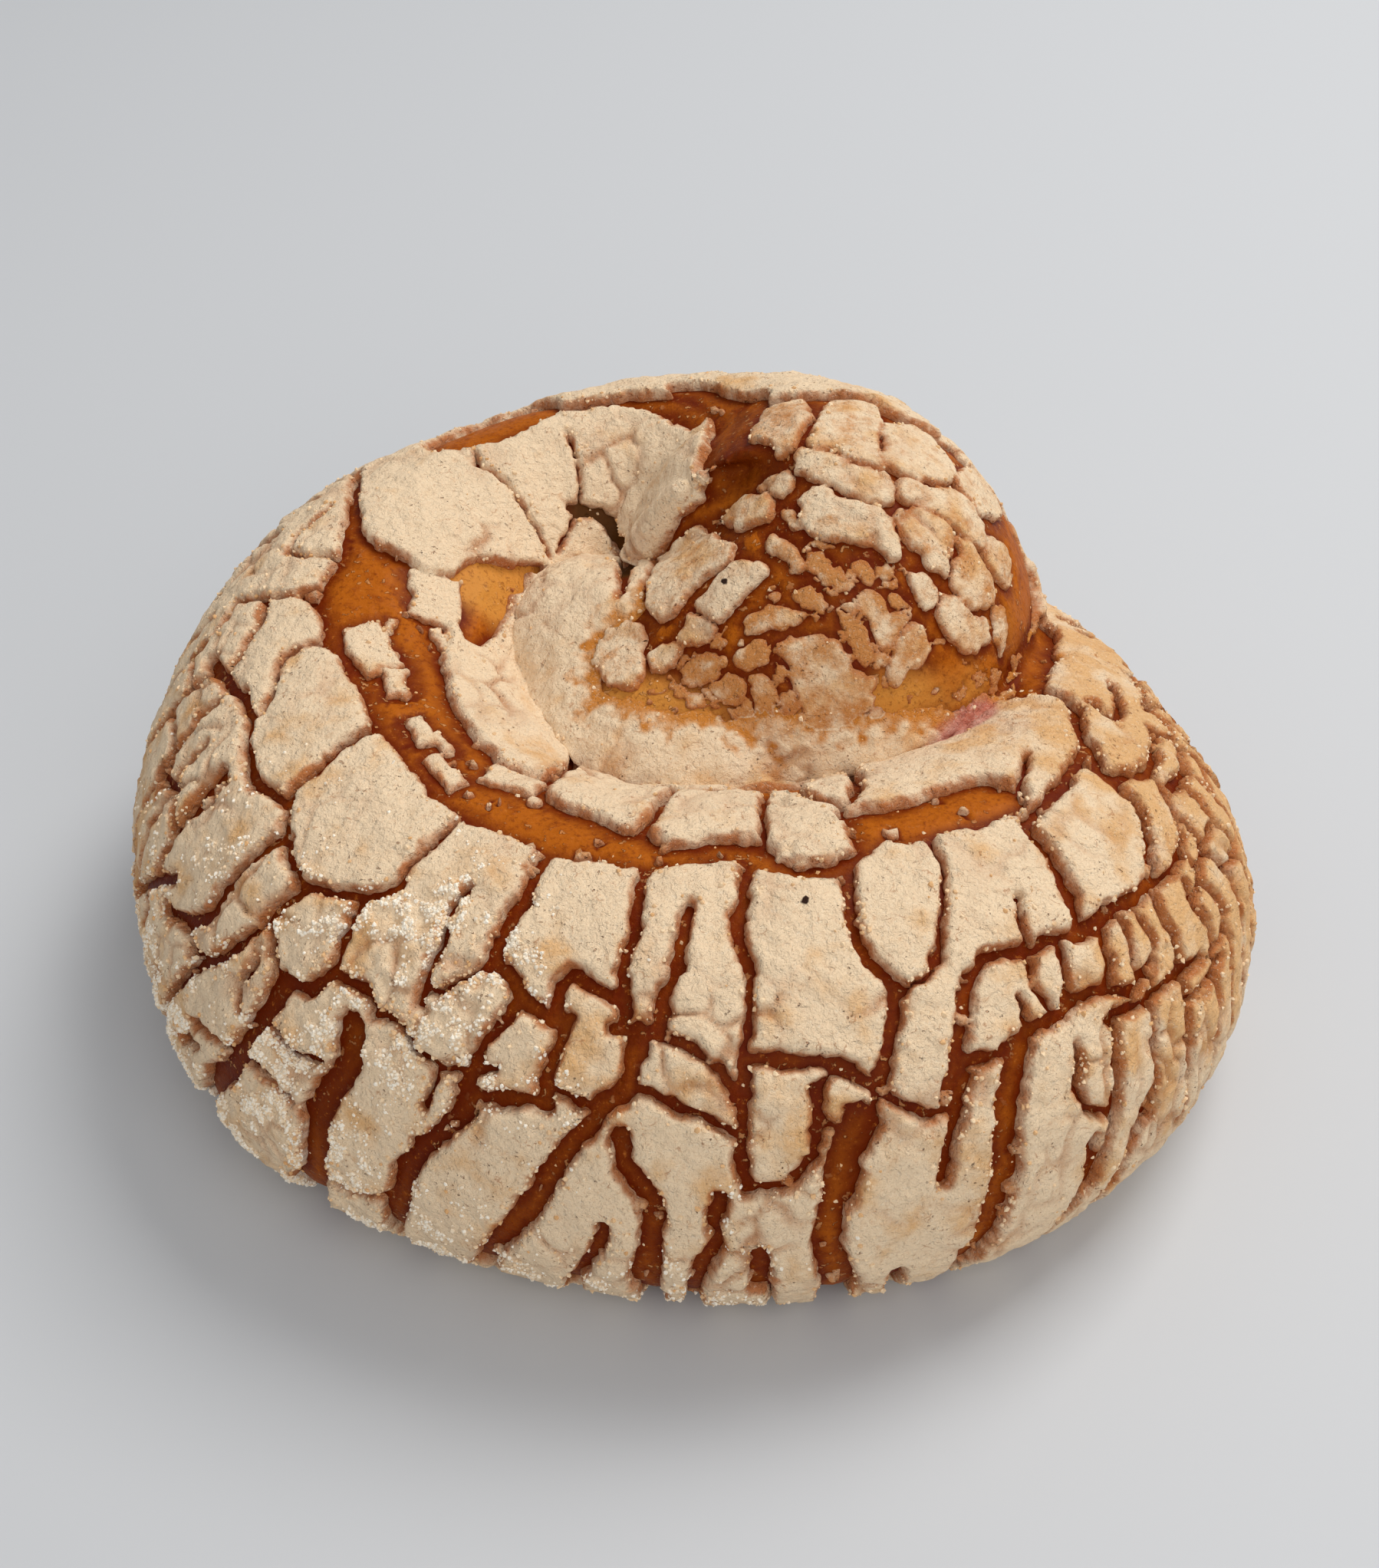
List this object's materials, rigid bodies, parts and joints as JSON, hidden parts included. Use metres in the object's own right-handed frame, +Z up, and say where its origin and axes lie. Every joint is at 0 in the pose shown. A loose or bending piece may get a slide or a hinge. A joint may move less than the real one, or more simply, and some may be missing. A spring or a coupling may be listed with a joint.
{
  "type": "spiral sweet roll",
  "caption": "Sweet bread roll wound as a clockwise spiral with a raised knob, under a pale sugar-cookie crust cracked into plates over glossy brown dough.",
  "frame": {"origin": "centre of the roll's bounding box on the flat base it rests on", "axes": "+Z up from the base; -Y towards the low front of the roll; the raised knob lies towards +X and +Y; the rope runs clockwise seen from above, from its tail at +X round the front, the left and the back up to the knob"},
  "size_m": [0.1294, 0.1241, 0.059],
  "materials": {
    "sweet_roll": "dry, sandy sugar crust, pale cream to toasted orange, with glossy orange-brown baked dough in the cracks"
  },
  "bodies": {
    "root": {"sweet_roll": "sweet_roll"}
  },
  "joints": []
}
